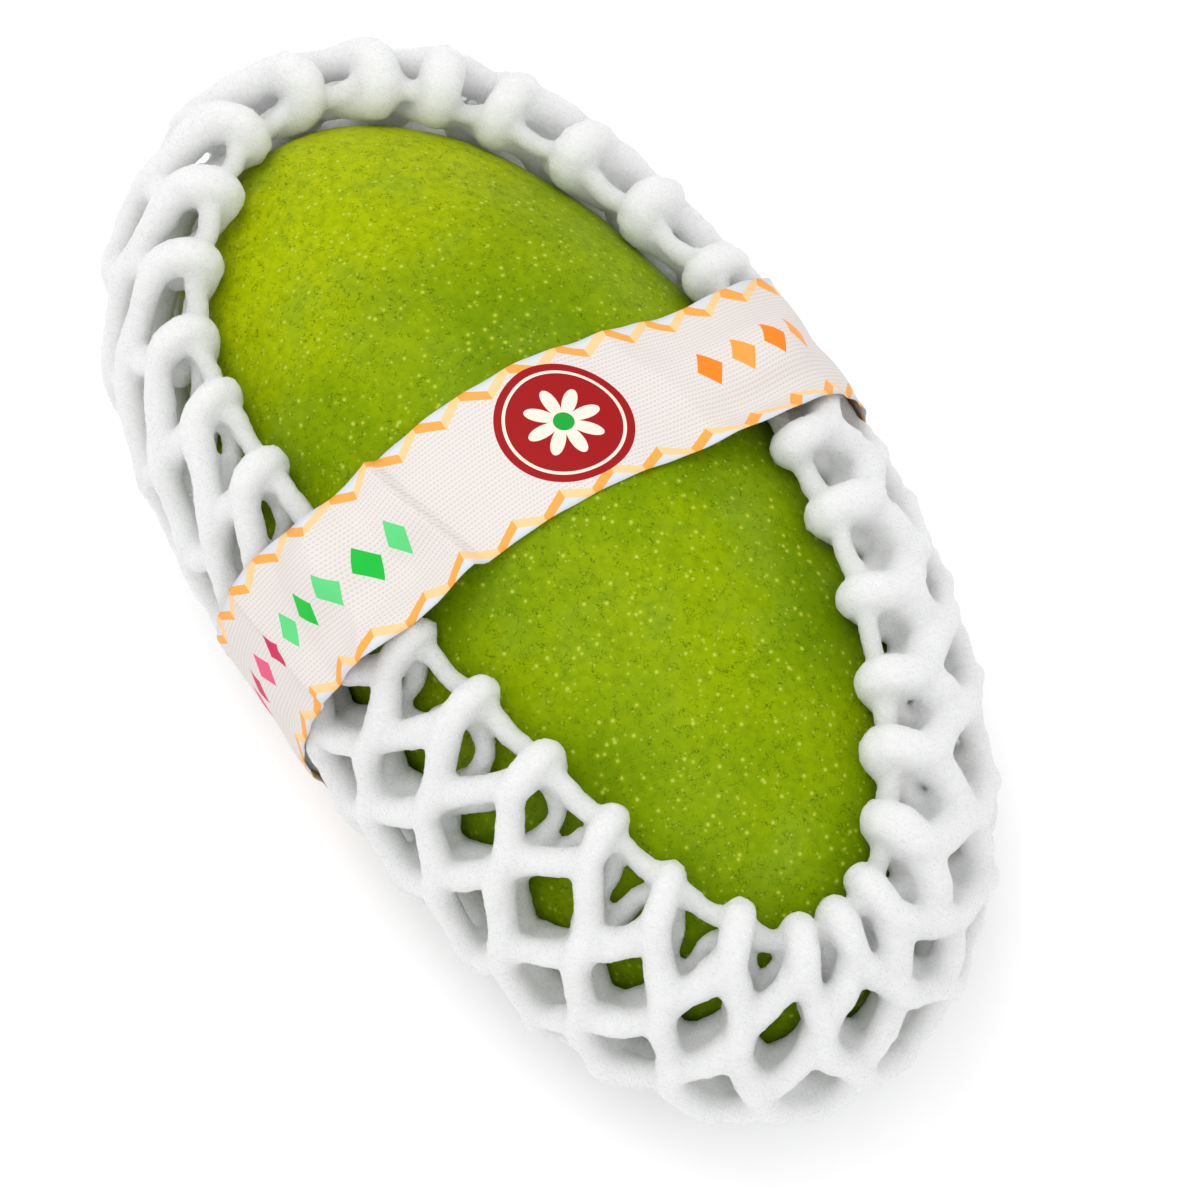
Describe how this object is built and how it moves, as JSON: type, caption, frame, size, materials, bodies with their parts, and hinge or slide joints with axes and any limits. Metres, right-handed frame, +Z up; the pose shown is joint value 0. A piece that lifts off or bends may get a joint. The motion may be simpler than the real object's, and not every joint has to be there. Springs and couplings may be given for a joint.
{
  "type": "mango",
  "caption": "Whole green mango lying on its side in a folded white foam net sleeve, with a paper band round its waist.",
  "frame": {"origin": "middle of the whole's outline at the surface that it rests on", "axes": "+X along the fruit from the stem end to the apex, +Z up, -Y the side that the apex bends to"},
  "size_m": [0.1678, 0.091, 0.0695],
  "materials": {
    "mango_peel": "waxy yellow-green peel with fine pale dots, soft sheen",
    "foam": "soft white expanded polyethylene strands, slightly see-through",
    "paper": "off-white printed paper with zigzag edges, slight gloss"
  },
  "bodies": {
    "root": {"mango": "mango_peel", "foam_net": "foam", "paper_band": "paper"}
  },
  "joints": []
}
